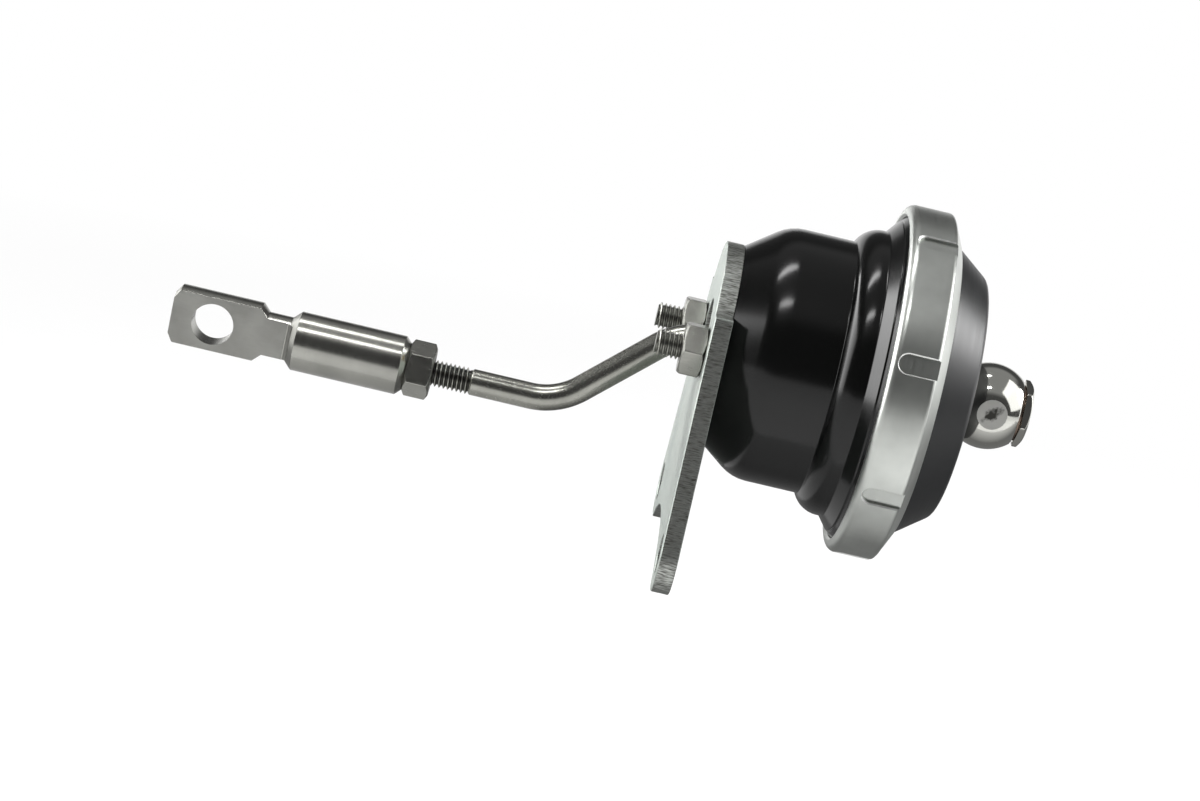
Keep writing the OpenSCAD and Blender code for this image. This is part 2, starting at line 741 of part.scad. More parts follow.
module jam_nut() {
    roll = 19;
    color("silver") on_rod(-mouth_out) rotate([0, 0, roll]) hex_nut(jam_af, jam_t, rod_r + snug);
}

// Turned bar with two milled flats, an eye and a threaded socket
module rod_end() {
    bar_r = bar_d / 2;
    neck_r = neck_d / 2;
    step = bar_r - neck_r;
    tip_r = bar_r - 1.5 * tip_chamfer;
    socket = eye_len + neck_len;
    flat_len = socket - 0.8;
    color("silver") on_rod(-mouth_out - rod_end_len) rotate([0, 0, eye_roll]) difference() {
        rotate_extrude() polygon([[0, 0], [tip_r, 0], [bar_r, tip_chamfer],
            [bar_r, eye_len - step], [neck_r, eye_len], [neck_r, socket],
            [bar_r, socket + step], [bar_r, rod_end_len - bar_chamfer],
            [bar_r - bar_chamfer, rod_end_len], [0, rod_end_len]]);
        for (side = [-1, 1]) translate([side * (eye_t / 2 + bar_r), 0, flat_len / 2 - eps])
            cube([2 * bar_r, 2 * bar_d, flat_len], center = true);
        translate([-bar_r, 0, eye_back]) rotate([0, 90, 0]) cylinder(d = eye_d, h = bar_d);
        translate([0, 0, rod_end_len - thread_depth])
            cylinder(r = rod_hole_r, h = thread_depth + eps);
    }
}

bracket_plate();
mount_studs();
stud_nuts();
base_housing();
guide_bush();
rod_seal();
seal_clip();
spring_seat();
outer_spring();
inner_spring();
diaphragm();
piston();
diaphragm_retainer();
lock_nut();
cap();
collar();
banjo_bolt();
banjo_washers();
banjo_body();
hose_nipple();
rod();
jam_nut();
rod_end();
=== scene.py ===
"""Looks of a turbo wastegate actuator: canister, bracket, cranked rod and hose fitting."""
import math

import bmesh
import bpy
from mathutils import Matrix, Vector


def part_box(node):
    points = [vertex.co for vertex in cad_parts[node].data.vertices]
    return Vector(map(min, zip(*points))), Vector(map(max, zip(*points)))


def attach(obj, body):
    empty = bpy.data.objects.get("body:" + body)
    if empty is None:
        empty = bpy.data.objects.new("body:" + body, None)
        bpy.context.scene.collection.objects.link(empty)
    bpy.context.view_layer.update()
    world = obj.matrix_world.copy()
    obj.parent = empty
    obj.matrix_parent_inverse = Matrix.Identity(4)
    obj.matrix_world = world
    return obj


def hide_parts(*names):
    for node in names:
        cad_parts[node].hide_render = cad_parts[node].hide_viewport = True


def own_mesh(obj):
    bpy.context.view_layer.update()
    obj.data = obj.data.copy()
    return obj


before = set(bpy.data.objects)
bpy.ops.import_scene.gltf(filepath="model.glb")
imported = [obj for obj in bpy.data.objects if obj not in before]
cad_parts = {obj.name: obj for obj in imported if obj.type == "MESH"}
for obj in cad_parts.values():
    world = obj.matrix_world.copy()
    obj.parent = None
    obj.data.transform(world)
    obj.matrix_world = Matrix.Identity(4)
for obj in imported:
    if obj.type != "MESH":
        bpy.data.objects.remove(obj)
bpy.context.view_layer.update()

MM = 0.001
TURN_STEPS = 192
UP = Vector((0, 0, 1))


def span(node, axis=0):
    """Where a node starts and ends along an axis, in millimetres."""
    low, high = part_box(node)
    return low[axis] / MM, high[axis] / MM


# Heights of the canister's axis and of the rod's outer length
CANISTER_Z = sum(span("collar", 2)) / 2
ROD_Z = sum(span("jam_nut", 2)) / 2
PLATE_START, PLATE_END = span("bracket_plate")
BASE_START, JOINT = span("base_housing")
FLANGE = JOINT - 6
COLLAR_START, COLLAR_END = span("collar")
CAP_START, CAP_END = span("cap")
BALL_START, BALL_END = span("banjo_body")
ROD_END_TIP, ROD_END_MOUTH = span("rod_end")
JAM_START, JAM_END = span("jam_nut")
BALL_X = (BALL_START + BALL_END) / 2
WASHER_END = BALL_END + 0.8
# Radii that two or more pieces share
RIM = 37.0
WIDE_BORE = 29.2
BOLT_HOLE = 4.02


# Shapes

def arc(x, radius_at, bend, start, end, steps):
    """Outline points along an arc, with angles measured from straight outwards."""
    angles = [math.radians(start + (end - start) * i / steps) for i in range(steps + 1)]
    return [(x + bend * math.sin(a), radius_at + bend * math.cos(a), 0) for a in angles]


def rounded(corners, closed):
    """Outline in which each corner (x, radius, rounding) becomes an arc."""
    steps, side_share = 4, 0.49
    points = []
    for i, (x, radius, rounding) in enumerate(corners):
        here = Vector((x, radius))
        if not rounding or (not closed and i in (0, len(corners) - 1)):
            points.append(here)
            continue
        back = Vector(corners[i - 1][:2]) - here
        ahead = Vector(corners[(i + 1) % len(corners)][:2]) - here
        half = back.angle(ahead) / 2
        trim = min(rounding / math.tan(half), side_share * back.length,
                   side_share * ahead.length)
        bend = trim * math.tan(half)
        centre = here + (back.normalized() + ahead.normalized()).normalized() * bend / math.sin(half)
        first = (here + back.normalized() * trim - centre).normalized()
        last = (here + ahead.normalized() * trim - centre).normalized()
        points += [centre + first.slerp(last, k / steps) * bend for k in range(steps + 1)]
    return points


def turned(corners, closed=True, steps=TURN_STEPS):
    """Spins an outline of (x, radius, rounding) corners round the X axis."""
    shape = bmesh.new()
    points = rounded(corners, closed)
    verts = [shape.verts.new((x * MM, 0, radius * MM)) for x, radius in points]
    for a, b in zip(verts, verts[1:] + (verts[:1] if closed else [])):
        shape.edges.new((a, b))
    bmesh.ops.spin(shape, geom=shape.edges[:], cent=(0, 0, 0), axis=(1, 0, 0), dvec=(0, 0, 0),
                   angle=2 * math.pi, steps=steps, use_merge=True, use_duplicate=False)
    bmesh.ops.remove_doubles(shape, verts=shape.verts, dist=1e-7)
    bmesh.ops.recalc_face_normals(shape, faces=shape.faces)
    return shape


def extruded(shape, edges):
    """Extrudes a run of edges, and gives the new vertices and the new run."""
    made = bmesh.ops.extrude_edge_only(shape, edges=edges)["geom"]
    return ([v for v in made if isinstance(v, bmesh.types.BMVert)],
            [e for e in made if isinstance(e, bmesh.types.BMEdge)])


def close_rims(shape):
    """Fills a shape's open rims."""
    bmesh.ops.holes_fill(shape, edges=[e for e in shape.edges if e.is_boundary], sides=0)


def hexagon(across, thick, chamfers, bore):
    """Hexagon along X whose corners are turned off at the faces named in chamfers."""
    steps, lead = 96, 0.35
    inner = across / 2 - 0.25
    drop = math.tan(math.radians(30))

    def side(angle):
        return across / 2 / math.cos((angle + math.pi / 6) % (math.pi / 3) - math.pi / 6)

    def low(angle):
        return ((side(angle) - inner) * drop if "low" in chamfers else 0), side(angle)

    def high(angle):
        return thick - ((side(angle) - inner) * drop if "high" in chamfers else 0), side(angle)

    rings = [lambda a: (lead, bore), lambda a: (0, bore + lead), lambda a: (0, inner), low, high,
             lambda a: (thick, inner), lambda a: (thick, bore + lead),
             lambda a: (thick - lead, bore), lambda a: (lead, bore)]
    if not bore:
        rings = [lambda a: (0, 0)] + rings[2:6] + [lambda a: (thick, 0)]
    shape = bmesh.new()
    made = bmesh.ops.create_circle(shape, radius=1, segments=steps)
    verts, edges = made["verts"], shape.edges[:]
    angles = {v: math.atan2(v.co.y, v.co.x) for v in verts}
    for i, ring in enumerate(rings):
        if i:
            verts, edges = extruded(shape, edges)
            angles = {v: min(angles.items(), key=lambda old: (old[0].co - v.co).length)[1]
                      for v in verts}
        for v in verts:
            x, radius = ring(angles[v])
            # Rings at the axis stay a little apart until they are welded
            radius = max(radius, 1e-4 * (i + 1))
            v.co = Vector((x, radius * math.cos(angles[v]), radius * math.sin(angles[v]))) * MM
    bmesh.ops.remove_doubles(shape, verts=shape.verts, dist=2e-6)
    bmesh.ops.recalc_face_normals(shape, faces=shape.faces)
    return shape


def thread(start, end, crest, pitch, low_chamfer, high_chamfer=0):
    """Length of screw thread along X, with its end turns tapered off."""
    steps, depth, spare_turns = 48, 0.61 * pitch, 2
    root = crest - depth
    shape = bmesh.new()
    outline = [(0, root), (0.25, root), (0.5625, crest), (0.6875, crest), (1, root)]
    first = start - spare_turns * pitch
    verts = [shape.verts.new(((first + x * pitch) * MM, 0, r * MM)) for x, r in outline]
    for a, b in zip(verts, verts[1:]):
        shape.edges.new((a, b))
    turns = math.ceil((end - start) / pitch) + 2 * spare_turns
    bmesh.ops.spin(shape, geom=shape.edges[:], cent=(0, 0, 0), axis=(1, 0, 0),
                   dvec=(pitch / steps * MM, 0, 0), angle=2 * math.pi * turns,
                   steps=steps * turns, use_merge=False, use_duplicate=False)
    bmesh.ops.remove_doubles(shape, verts=shape.verts, dist=1e-6)
    for place, way in ((start, -1), (end, 1)):
        bmesh.ops.bisect_plane(shape, geom=shape.verts[:] + shape.edges[:] + shape.faces[:],
                               dist=1e-8, plane_co=(place * MM, 0, 0), plane_no=(way, 0, 0),
                               clear_outer=True)
    close_rims(shape)
    for v in shape.verts:
        radius = math.hypot(v.co.y, v.co.z)
        limit = min(crest * MM, (crest - low_chamfer) * MM + v.co.x - start * MM)
        if high_chamfer:
            limit = min(limit, (crest - high_chamfer) * MM + end * MM - v.co.x)
        if radius > limit:
            v.co.y *= limit / radius
            v.co.z *= limit / radius
    bmesh.ops.recalc_face_normals(shape, faces=shape.faces)
    return shape


def slot_cutter(start, half_width, floor, top, chamfer):
    """Round-ended cutter for a slot along X, flared to chamfer the slot's upper edge."""
    length, spare = 20, 3
    shape = bmesh.new()
    made = bmesh.ops.create_circle(shape, radius=half_width * MM, segments=48)
    far = [v for v in made["verts"] if v.co.x > 1e-9]
    bmesh.ops.translate(shape, verts=far, vec=(length * MM, 0, 0))
    rim = shape.edges[:]
    for rise, flare in ((top - chamfer - floor, 0), (2 * chamfer, 2 * chamfer), (spare, 0)):
        verts, rim = extruded(shape, rim)
        for v in verts:
            middle = Vector((length * MM if v.co.x > length / 2 * MM else 0, 0, v.co.z))
            v.co += (v.co - middle).normalized() * flare * MM
        bmesh.ops.translate(shape, verts=verts, vec=(0, 0, rise * MM))
    close_rims(shape)
    bmesh.ops.translate(shape, verts=shape.verts, vec=((start + half_width) * MM, 0, floor * MM))
    bmesh.ops.recalc_face_normals(shape, faces=shape.faces)
    return shape


def block(low, high):
    """Block between two corners."""
    shape = bmesh.new()
    bmesh.ops.create_cube(shape, size=1)
    size = (Vector(high) - Vector(low)) * MM
    bmesh.ops.scale(shape, vec=size, verts=shape.verts)
    bmesh.ops.translate(shape, verts=shape.verts, vec=(Vector(high) + Vector(low)) / 2 * MM)
    return shape


def peg(radius, start, end, steps=64):
    """Plain cylinder along X."""
    return turned([(start, 0, 0), (start, radius, 0), (end, radius, 0), (end, 0, 0)],
                  closed=False, steps=steps)


def turn(shape, angle, axis):
    """Turns a shape about an axis through the origin, by degrees."""
    bmesh.ops.rotate(shape, verts=shape.verts, cent=(0, 0, 0),
                     matrix=Matrix.Rotation(math.radians(angle), 3, axis))
    return shape


def move(shape, x, y=0, z=0):
    """Moves a shape by millimetres."""
    bmesh.ops.translate(shape, verts=shape.verts, vec=Vector((x, y, z)) * MM)
    return shape


def joined(*shapes):
    """One shape made of several."""
    whole = bmesh.new()
    for shape in shapes:
        mesh = bpy.data.meshes.new("blank")
        shape.to_mesh(mesh)
        shape.free()
        whole.from_mesh(mesh)
        bpy.data.meshes.remove(mesh)
    return whole


def carved(shape, *cutters):
    """A shape with cutters taken out of it."""
    for cutter in cutters:
        blanks = []
        for part in (shape, cutter):
            mesh = bpy.data.meshes.new("blank")
            part.to_mesh(mesh)
            part.free()
            blanks.append(bpy.data.objects.new("blank", mesh))
            bpy.context.scene.collection.objects.link(blanks[-1])
        cut = blanks[0].modifiers.new("cut", "BOOLEAN")
        cut.operation = "DIFFERENCE"
        cut.solver = "EXACT"
        cut.object = blanks[1]
        shape = bmesh.new()
        shape.from_object(blanks[0], bpy.context.evaluated_depsgraph_get())
        for blank in blanks:
            bpy.data.objects.remove(blank)
        bmesh.ops.remove_doubles(shape, verts=shape.verts, dist=2e-6)
        bmesh.ops.dissolve_degenerate(shape, dist=1e-6, edges=shape.edges)
    return shape


def eased(shape, width, angle, where=None):
    """A shape whose edges sharper than an angle, in degrees, are slightly rounded."""
    shape.normal_update()
    edges = [e for e in shape.edges if len(e.link_faces) == 2
             and e.calc_face_angle(0) > math.radians(angle)
             and (where is None or where((e.verts[0].co + e.verts[1].co) / 2 / MM))]
    bmesh.ops.bevel(shape, geom=edges, offset=width * MM, offset_type="OFFSET",
                    segments=2, profile=0.5, affect="EDGES", clamp_overlap=True, material=-1)
    return shape


def piece(name, shape, body, finishes, nodes, sharp=32):
    """Makes a piece of the actuator that stands for nodes of the frame."""
    mesh = bpy.data.meshes.new(name)
    shape.to_mesh(mesh)
    shape.free()
    for finish in finishes:
        mesh.materials.append(finish)
    mesh.shade_smooth()
    mesh.set_sharp_from_angle(angle=math.radians(sharp))
    made = bpy.data.objects.new(name, mesh)
    bpy.context.scene.collection.objects.link(made)
    even = made.modifiers.new("even_normals", "WEIGHTED_NORMAL")
    even.keep_sharp = True
    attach(made, body)
    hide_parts(*nodes)
    return made


# Finishes

def add(tree, kind, links=None, **settings):
    """Adds a node, with its settings and what feeds or fills its sockets."""
    made = tree.nodes.new(kind)
    for name, value in settings.items():
        setattr(made, name, value)
    for socket, value in (links or {}).items():
        if isinstance(value, bpy.types.NodeSocket):
            tree.links.new(value, made.inputs[socket])
        else:
            made.inputs[socket].default_value = value
    return made


def metal_blank(name, color, metallic, roughness, **sockets):
    """New material with its plain values on the shader's own sockets."""
    material = bpy.data.materials.new(name)
    material.use_nodes = True
    shader = material.node_tree.nodes["Principled BSDF"]
    shader.inputs["Base Color"].default_value = (*color, 1)
    shader.inputs["Metallic"].default_value = metallic
    shader.inputs["Roughness"].default_value = roughness
    for socket, value in sockets.items():
        shader.inputs[socket.replace("_", " ")].default_value = value
    return material, material.node_tree, shader


def object_axes(tree):
    """Place on the object."""
    return add(tree, "ShaderNodeTexCoord").outputs["Object"]


def object_place(tree, stretch=(1, 1, 1)):
    """Place on the object, stretched along its axes."""
    return add(tree, "ShaderNodeMapping",
               {"Vector": object_axes(tree), "Scale": stretch}).outputs[0]


def maths(tree, operation, *values):
    """Result of a sum on numbers."""
    return add(tree, "ShaderNodeMath", dict(enumerate(values)), operation=operation).outputs[0]


def vector_maths(tree, operation, *values):
    """Result of a sum on vectors, which is a number for a length or a dot product."""
    outputs = add(tree, "ShaderNodeVectorMath", dict(enumerate(values)),
                  operation=operation).outputs
    return outputs["Value" if operation in ("LENGTH", "DOT_PRODUCT") else "Vector"]


def split(tree, vector):
    """The three parts of a vector."""
    return add(tree, "ShaderNodeSeparateXYZ", {0: vector}).outputs


def combined(tree, x=0, y=0, z=0):
    """Vector made of three parts."""
    return add(tree, "ShaderNodeCombineXYZ", {0: x, 1: y, 2: z}).outputs[0]


def lathe_place(tree, axis_z):
    """Place on a turned piece: along it, out from its axis, and a little of the way round it."""
    around = 0.02
    centred = vector_maths(tree, "SUBTRACT", object_axes(tree), (0, 0, axis_z * MM))
    x, y, z = split(tree, centred)
    out = vector_maths(tree, "LENGTH", combined(tree, y=y, z=z))
    return combined(tree, x, out, maths(tree, "MULTIPLY", y, around))


def noise(tree, place, scale, detail, roughness=0.55):
    """Noise that is fine, coarse or streaked as its place and scale make it."""
    return add(tree, "ShaderNodeTexNoise", {"Vector": place, "Scale": scale, "Detail": detail,
                                            "Roughness": roughness}).outputs["Fac"]


def ranged(tree, value, low, high, start=0.3, end=0.7):
    """Spreads a value over a range."""
    return add(tree, "ShaderNodeMapRange", {"Value": value, "From Min": start, "From Max": end,
                                            "To Min": low, "To Max": high}).outputs[0]


def blended(tree, factor, first, second):
    """Colour between two colours."""
    mix = add(tree, "ShaderNodeMix", {"Factor": factor}, data_type="RGBA")
    mix.inputs[6].default_value = (*first, 1)
    mix.inputs[7].default_value = (*second, 1)
    return mix.outputs[2]


def feed(shader, socket, value):
    """Lets a node's result set a socket of the shader."""
    shader.id_data.links.new(value, shader.inputs[socket])


def relief(tree, shader, height, depth, strength=1.0):
    """Gives a surface fine relief, with its depth in millimetres."""
    bump = add(tree, "ShaderNodeBump", {"Height": height, "Distance": depth * MM,
                                        "Strength": strength})
    feed(shader, "Normal", bump.outputs[0])


def gloss_black():
    """Gloss black coat of the base housing."""
    material, tree, shader = metal_blank("gloss_black_coat", (0.0018, 0.002, 0.0019), 0, 0.16,
                                         Specular_IOR_Level=0.38)
    place = object_place(tree)
    feed(shader, "Roughness", ranged(tree, noise(tree, place, 60, 4), 0.14, 0.2))
    relief(tree, shader, noise(tree, place, 500, 2), 0.002, 0.4)
    return material


def satin_black():
    """Satin black coat of the cap."""
    material, tree, shader = metal_blank("satin_black_coat", (0.0065, 0.007, 0.0078), 0, 0.36,
                                         Specular_IOR_Level=0.42)
    rings = noise(tree, lathe_place(tree, CANISTER_Z), 2600, 3)
    feed(shader, "Roughness", ranged(tree, rings, 0.32, 0.4))
    relief(tree, shader, rings, 0.003, 0.4)
    return material


def mark_metal(tree, shader, marks, rough, smudge_scale, shade, depth):
    """Gives bare metal fine marks, and smudges in a darker shade of its colour."""
    color = shader.inputs["Base Color"].default_value[:3]
    feed(shader, "Roughness", ranged(tree, marks, *rough))
    dark_patch = ranged(tree, noise(tree, object_place(tree), smudge_scale, 3), 0, 1, 0.35, 0.7)
    darker = tuple(c * shade for c in color)
    feed(shader, "Base Color", blended(tree, dark_patch, color, darker))
    relief(tree, shader, marks, depth)


def turned_metal(name, color, axis_z, rough, scale=3000, depth=0.006):
    """Bare metal with fine turning marks round an axis along X."""
    material, tree, shader = metal_blank(name, color, 1, sum(rough) / 2)
    marks = noise(tree, lathe_place(tree, axis_z), scale, 4)
    mark_metal(tree, shader, marks, rough, 90, 0.8, depth)
    return material


def brushed_metal(name, color, stretch, rough, depth):
    """Bare metal with straight brush marks."""
    material, tree, shader = metal_blank(name, color, 1, sum(rough) / 2)
    marks = noise(tree, object_place(tree, stretch), 1, 4)
    mark_metal(tree, shader, marks, rough, 120, 0.78, depth)
    return material


def zinc_plate():
    """Zinc plated sheet of the bracket, dull and finely mottled."""
    material, tree, shader = metal_blank("zinc_plated_sheet", (0.36, 0.39, 0.36), 1, 0.45)
    place = object_place(tree)
    pale, dark = (0.38, 0.41, 0.38), (0.31, 0.34, 0.32)
    grain = noise(tree, place, 1400, 4, 0.7)
    cloud = ranged(tree, noise(tree, place, 70, 3), 0, 1)
    feed(shader, "Roughness", ranged(tree, grain, 0.38, 0.6))
    feed(shader, "Base Color", blended(tree, cloud, pale, dark))
    relief(tree, shader, grain, 0.012, 0.7)
    return material


def sheared_edge():
    """Cut edge of the bracket, with marks that run through its thickness."""
    material, tree, shader = metal_blank("sheared_edge", (0.3, 0.31, 0.29), 1, 0.42)
    pale, dark = (0.55, 0.57, 0.54), (0.09, 0.09, 0.08)
    marks = noise(tree, object_place(tree, (450, 3500, 3500)), 1, 2, 0.6)
    feed(shader, "Roughness", ranged(tree, marks, 0.3, 0.58))
    feed(shader, "Base Color", blended(tree, ranged(tree, marks, 0, 1, 0.32, 0.68), pale, dark))
    relief(tree, shader, marks, 0.02, 0.7)
    return material


def thread_metal_painted_shade(name, crest, root, axis_y=0.0):
    """Steel thread with painted shade in its roots and a painted highlight on its crests, round one
    axis or a pair of them.
    """
    material, tree, shader = metal_blank(name, (0.3, 0.3, 0.27), 1, 0.3)
    dark, bright = (root, root, root * 0.9), (0.46, 0.46, 0.42)
    place = object_axes(tree)
    axis_z = CANISTER_Z if axis_y else ROD_Z
    _, y, z = split(tree, place)
    side = maths(tree, "SUBTRACT", maths(tree, "ABSOLUTE", y), axis_y * MM)
    rise = maths(tree, "SUBTRACT", z, axis_z * MM)
    out = vector_maths(tree, "LENGTH", combined(tree, y=side, z=rise))
    # Colour runs from painted shade at the roots to a painted highlight at the crests
    height = ranged(tree, out, 0, 1, (crest - 0.5) * MM, (crest - 0.05) * MM)
    feed(shader, "Base Color", blended(tree, height, dark, bright))
    grain = noise(tree, place, 1500, 3)
    feed(shader, "Roughness", ranged(tree, grain, 0.26, 0.42))
    relief(tree, shader, grain, 0.001)
    return material


def spot_face():
    """Spot face of the ball, with turning rings and a colour that turns dark over a ragged diagonal
    patch at its middle.
    """
    material, tree, shader = metal_blank("spot_faced_chrome", (0.42, 0.42, 0.4), 1, 0.35)
    bright, dark = (0.42, 0.42, 0.4), (0.05, 0.05, 0.045)
    place = object_axes(tree)
    centred = vector_maths(tree, "SUBTRACT", place, (BALL_X * MM, 0, CANISTER_Z * MM))
    flat = vector_maths(tree, "MULTIPLY", centred, (1, 0, 1))
    rings = noise(tree, combined(tree, vector_maths(tree, "LENGTH", flat)), 3000, 2)
    # The colour turns dark over a ragged diagonal patch round the middle of the face
    long = vector_maths(tree, "DOT_PRODUCT", flat, (0.6, 0, 0.6))
    short = vector_maths(tree, "DOT_PRODUCT", flat, (1.2, 0, -1.2))
    near = vector_maths(tree, "LENGTH", combined(tree, long, short))
    ragged = ranged(tree, noise(tree, place, 800, 3), -0.0009, 0.0009)
    dark_patch = ranged(tree, maths(tree, "ADD", near, ragged), 1, 0, 0.0011, 0.0022)
    feed(shader, "Base Color", blended(tree, dark_patch, bright, dark))
    feed(shader, "Roughness", ranged(tree, rings, 0.3, 0.45))
    relief(tree, shader, rings, 0.002)
    return material


def chrome():
    """Bright chrome of the hose fitting."""
    material, tree, shader = metal_blank("bright_chrome", (0.6, 0.6, 0.56), 1, 0.08)
    place = object_place(tree)
    feed(shader, "Roughness", ranged(tree, noise(tree, place, 160, 4), 0.05, 0.16))
    relief(tree, shader, noise(tree, place, 900, 2), 0.002, 0.5)
    return material


def rubber():
    """Black rubber with a faint cloth grain."""
    material, tree, shader = metal_blank("black_rubber", (0.022, 0.021, 0.02), 0, 0.62)
    grain = noise(tree, object_place(tree), 1800, 3)
    relief(tree, shader, grain, 0.02, 0.8)
    feed(shader, "Roughness", ranged(tree, grain, 0.55, 0.72))
    return material


GLOSS_BLACK = gloss_black()
SATIN_BLACK = satin_black()
COLLAR_METAL = turned_metal("satin_aluminium", (0.58, 0.6, 0.57), CANISTER_Z, (0.28, 0.38),
                            2600, 0.0012)
ZINC = zinc_plate()
EDGE = sheared_edge()
# Near-white metal that paints a highlight onto the upper chamfers of the collar's notches
NOTCH_PAINTED_HIGHLIGHT = brushed_metal("bare_edge", (0.86, 0.87, 0.85), (900, 900, 900), (0.4, 0.55),
                          0.001)
ROD_METAL = brushed_metal("drawn_steel", (0.37, 0.37, 0.335), (1500, 5000, 5000), (0.23, 0.28),
                          0.0001)
ROD_END_METAL = turned_metal("turned_steel", (0.38, 0.38, 0.35), ROD_Z, (0.2, 0.27),
                             1500, 0.0003)
# Darker copy of the turned steel, for painted shade on turned faces that look along the axis
PAINTED_SHADE_STEEL = turned_metal("rough_turned_steel_painted_shade", (0.2, 0.2, 0.185), ROD_Z, (0.4, 0.5),
                              1500, 0.001)
FLAT_METAL = brushed_metal("milled_steel", (0.32, 0.32, 0.3), (400, 400, 3000), (0.34, 0.48),
                           0.001)
# Thread finishes with painted shade in the roots and a painted highlight on the crests
ROD_THREAD = thread_metal_painted_shade("rod_thread", 3.0, 0.05)
STUD_THREAD = thread_metal_painted_shade("stud_thread", 3.0, 0.2, 15.0)
NUT_METAL = brushed_metal("plated_nut_steel", (0.37, 0.37, 0.34), (300, 1200, 1200), (0.2, 0.28),
                          0.0002)
CHROME = chrome()
SPOT_METAL = spot_face()
BRASS = turned_metal("turned_brass", (0.6, 0.43, 0.17), CANISTER_Z, (0.2, 0.35))
COPPER = turned_metal("tarnished_washer", (0.2, 0.15, 0.12), CANISTER_Z, (0.25, 0.4))
SPRING_STEEL = turned_metal("spring_wire", (0.36, 0.37, 0.39), CANISTER_Z, (0.25, 0.4))
INNER_ALUMINIUM = turned_metal("turned_aluminium", (0.55, 0.55, 0.54), CANISTER_Z, (0.22, 0.36))
RUBBER = rubber()


# Pieces

def bracket_plate():
    """Bracket sheet: round head, straight-sided skirt, round leg ends, arch and five holes."""
    leg_y, leg_drop, leg_end, edge = 31.5, -42.5, 8.2, 0.25
    shoulder_y, shoulder_up, head, arch, arch_centre = 24.5, 10.0, 22.5, 52.0, -93.5
    rod_hole, stud_hole, stud_y, leg_hole = 9.2, 3.2, 15, 4.5
    thick = PLATE_END - PLATE_START

    def round_points(y, z, radius, start, end, steps):
        angles = [math.radians(start + (end - start) * i / steps) for i in range(steps + 1)]
        return [(y + radius * math.cos(a), z + radius * math.sin(a)) for a in angles]

    away = Vector((shoulder_y - leg_y, shoulder_up - leg_drop))
    touch = math.degrees(math.atan2(away.y, away.x) - math.acos(leg_end / away.length))
    bottom = leg_drop - leg_end
    arch_half = math.degrees(math.acos((bottom - arch_centre) / arch))
    head_start = math.degrees(math.asin(shoulder_up / head))
    right = [(shoulder_y - 0.3, shoulder_up), (shoulder_y, shoulder_up - 0.35)]
    right += round_points(leg_y, leg_drop, leg_end, touch, -90, 20)
    outline = round_points(0, 0, head, 180 - head_start, head_start, 72)
    outline += right
    outline += round_points(0, arch_centre, arch, 90 - arch_half, 90 + arch_half, 36)
    outline += [(-y, z) for y, z in reversed(right)]
    places = [(0, 0, rod_hole), (stud_y, 0, stud_hole), (-stud_y, 0, stud_hole),
              (leg_y, leg_drop, leg_hole), (-leg_y, leg_drop, leg_hole)]
    holes = [round_points(y, z, radius, 0, 360, 64)[:-1] for y, z, radius in places]
    curve = bpy.data.curves.new("plate_outline", "CURVE")
    curve.dimensions = "2D"
    curve.fill_mode = "BOTH"
    for loop in [outline] + holes:
        line = curve.splines.new("POLY")
        line.points.add(len(loop) - 1)
        line.use_cyclic_u = True
        for point, (y, z) in zip(line.points, loop):
            point.co = (y * MM, z * MM, 0, 1)
    curve.extrude = (thick / 2 - edge) * MM
    curve.bevel_depth = edge * MM
    curve.bevel_resolution = 3
    curve.offset = -edge * MM
    flat = bpy.data.objects.new("plate_outline", curve)
    bpy.context.scene.collection.objects.link(flat)
    flat_mesh = bpy.data.meshes.new_from_object(
        flat.evaluated_get(bpy.context.evaluated_depsgraph_get()))
    shape = bmesh.new()
    shape.from_mesh(flat_mesh)
    bpy.data.objects.remove(flat)
    bpy.data.meshes.remove(flat_mesh)
    bmesh.ops.remove_doubles(shape, verts=shape.verts, dist=1e-6)
    stand = Matrix(((0, 0, 1, 0), (1, 0, 0, 0), (0, 1, 0, 0), (0, 0, 0, 1)))
    bmesh.ops.transform(shape, matrix=stand, verts=shape.verts)
    move(shape, (PLATE_START + PLATE_END) / 2, 0, CANISTER_Z)
    bmesh.ops.recalc_face_normals(shape, faces=shape.faces)
    for face in shape.faces:
        lean = face.normal.x
        shoulder = 0.5 < abs(face.normal.y) < 0.9 and face.normal.z > 0
        shoulder = shoulder and abs(face.calc_center_median().y) > (shoulder_y - 1) * MM
        face.material_index = 0 if shoulder or lean < -0.3 or lean > 0.95 else 1
    piece("bracket_sheet", shape, "canister", [ZINC, EDGE], ["bracket_plate"])


def stud_places():
    """The two studs' distances to either side of the canister's axis."""
    low, high = span("mount_studs", 1)
    reach = (high - low) / 2 - 3
    return (-reach, reach)


def mount_studs():
    """Threaded studs through the bracket."""
    start, end = span("mount_studs")
    low, high = span("mount_studs", 2)
    radius = (high - low) / 2
    thread_end = PLATE_START - 4
    shapes = []
    for y in stud_places():
        screw = thread(start, thread_end, radius, 1.0, low_chamfer=0.5)
        core = peg(radius - 0.02, thread_end, end)
        shapes += [move(screw, 0, y, CANISTER_Z), move(core, 0, y, CANISTER_Z)]
    piece("bracket_studs", joined(*shapes), "canister", [STUD_THREAD],
          ["mount_studs"])


def corners_in_painted_shade(nut):
    """A nut whose turned-off corners take the second finish, the darker steel of painted shade."""
    nut.normal_update()
    for face in nut.faces:
        if 0.3 < abs(face.normal.x) < 0.98:
            face.material_index = 1
    return nut


def stud_nuts():
    """Hexagon nuts on the studs."""
    start, end = span("stud_nuts")
    across, bore, roll = 11, 2.6, 25
    shapes = []
    for y in stud_places():
        nut = eased(hexagon(across, end - start, ("low", "high"), bore), 0.12, 22)
        shapes.append(move(turn(nut, roll, "X"), start, y, CANISTER_Z))
    piece("bracket_nuts", corners_in_painted_shade(joined(*shapes)), "canister",
          [NUT_METAL, PAINTED_SHADE_STEEL], ["stud_nuts"])


